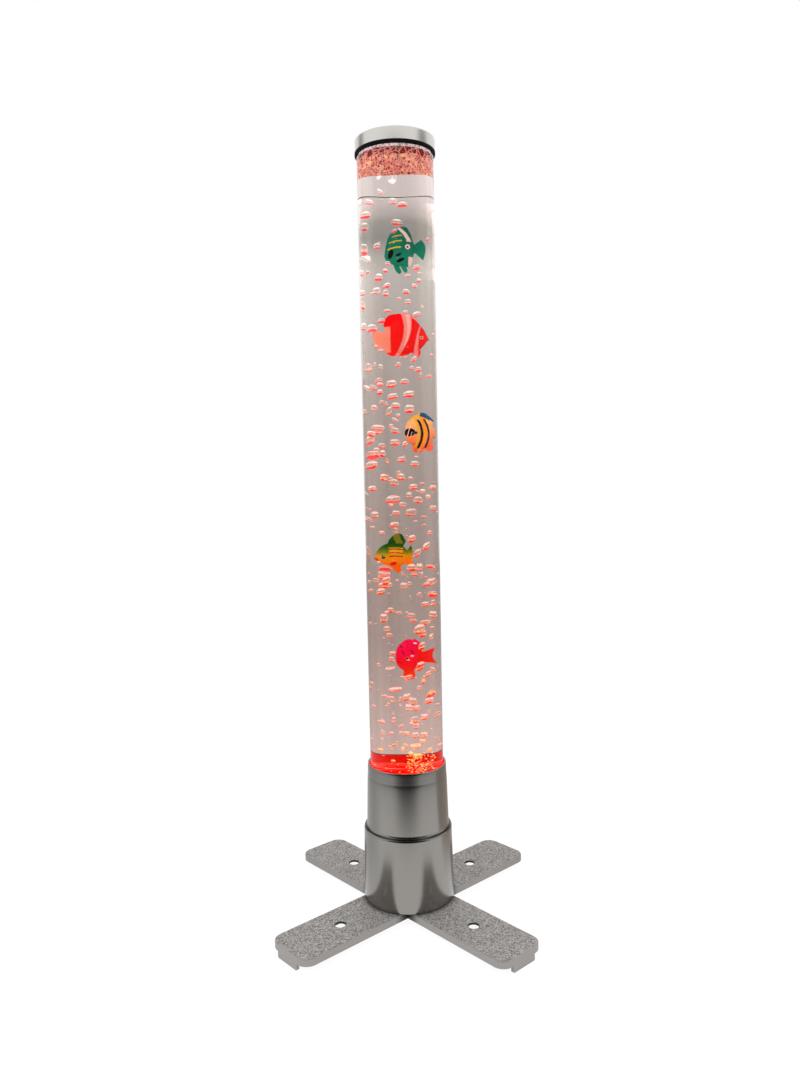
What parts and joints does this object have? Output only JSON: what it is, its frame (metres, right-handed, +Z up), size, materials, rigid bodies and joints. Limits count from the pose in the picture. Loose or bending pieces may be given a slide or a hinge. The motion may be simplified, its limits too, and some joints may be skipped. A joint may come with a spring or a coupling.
{
  "type": "bubble tube floor lamp",
  "caption": "Upright water-filled acrylic tube with floating toy fish on a two-stage round base with a cross foot, lit from below and aerated by a pump in the base.",
  "frame": {"origin": "on the floor, under the axis of the tube, at the bottom centre of the whole lamp", "axes": "+Z up along the tube, -Y to the front, +Y to the back with the power inlet and the button; the four arms lie on the diagonals between X and Y"},
  "size_m": [0.331, 0.331, 1.0326],
  "materials": {
    "foot": "speckled powder coat",
    "base": "metallic grey satin lacquer",
    "cap": "silver satin lacquer",
    "black_plastic": "fine matt",
    "seal": "matt",
    "clear_seal": "translucent silicone",
    "screw": "zinc plated",
    "acrylic": "clear polished",
    "tube_floor": "frosted clear",
    "circuit_board": "solder mask",
    "light_board": "white solder mask",
    "light": "lit red lens",
    "brass": "turned",
    "hose": "clear silicone",
    "valve": "moulded",
    "lead": "sheathed",
    "button": "satin",
    "fish_green": "painted",
    "fish_red": "painted",
    "fish_striped": "painted",
    "fish_golden": "painted",
    "fish_pink": "painted"
  },
  "bodies": {
    "stand": {"foot_bar_lower": "foot", "foot_bar_upper": "foot", "foot_screws": "screw", "base_plate": "black_plastic", "base_plate_screws": "screw", "lower_housing": "base", "seam_gasket": "seal", "upper_cone": "base", "rim_seal": "clear_seal", "tube_socket": "black_plastic", "socket_screws": "screw", "bubble_tube": "acrylic", "tube_floor": "tube_floor", "air_nozzle": "black_plastic", "nozzle_seal": "seal", "nozzle_nut": "black_plastic", "led_board": "light_board", "led_emitters": "light", "led_spacers": "brass", "led_board_screws": "screw", "pump_case": "black_plastic", "pump_cover": "black_plastic", "pump_screws": "screw", "pump_feet": "seal", "hose_lower": "hose", "check_valve": "valve", "hose_upper": "hose", "control_board": "circuit_board", "wiring": "lead", "dc_inlet": "black_plastic", "dc_inlet_nut": "screw", "switch_body": "black_plastic", "switch_nut": "screw"},
    "push_button": {"push_button": "button"},
    "cap": {"cap_seal": "seal", "cap_shell": "cap"},
    "green_fish": {"fish_green": "fish_green"},
    "red_fish": {"fish_red": "fish_red"},
    "striped_fish": {"fish_striped": "fish_striped"},
    "golden_fish": {"fish_golden": "fish_golden"},
    "pink_fish": {"fish_pink": "fish_pink"}
  },
  "joints": [
    {"name": "cap_lift", "type": "slide", "parent": "stand", "child": "cap", "axis": [0, 0, 1], "range_m": [0, 0.06]},
    {"name": "button_press", "type": "slide", "parent": "stand", "child": "push_button", "axis": [0, -1, 0], "range_m": [0, 0.0012], "stiffness_N_per_m": 900},
    {"name": "green_fish_drift", "type": "slide", "parent": "stand", "child": "green_fish", "axis": [0, 0, 1], "range_m": [-0.026, 0.048]},
    {"name": "red_fish_drift", "type": "slide", "parent": "stand", "child": "red_fish", "axis": [0, 0, 1], "range_m": [-0.034, 0.026]},
    {"name": "striped_fish_drift", "type": "slide", "parent": "stand", "child": "striped_fish", "axis": [0, 0, 1], "range_m": [-0.05, 0.034]},
    {"name": "golden_fish_drift", "type": "slide", "parent": "stand", "child": "golden_fish", "axis": [0, 0, 1], "range_m": [-0.042, 0.05]},
    {"name": "pink_fish_drift", "type": "slide", "parent": "stand", "child": "pink_fish", "axis": [0, 0, 1], "range_m": [-0.115, 0.042]}
  ]
}
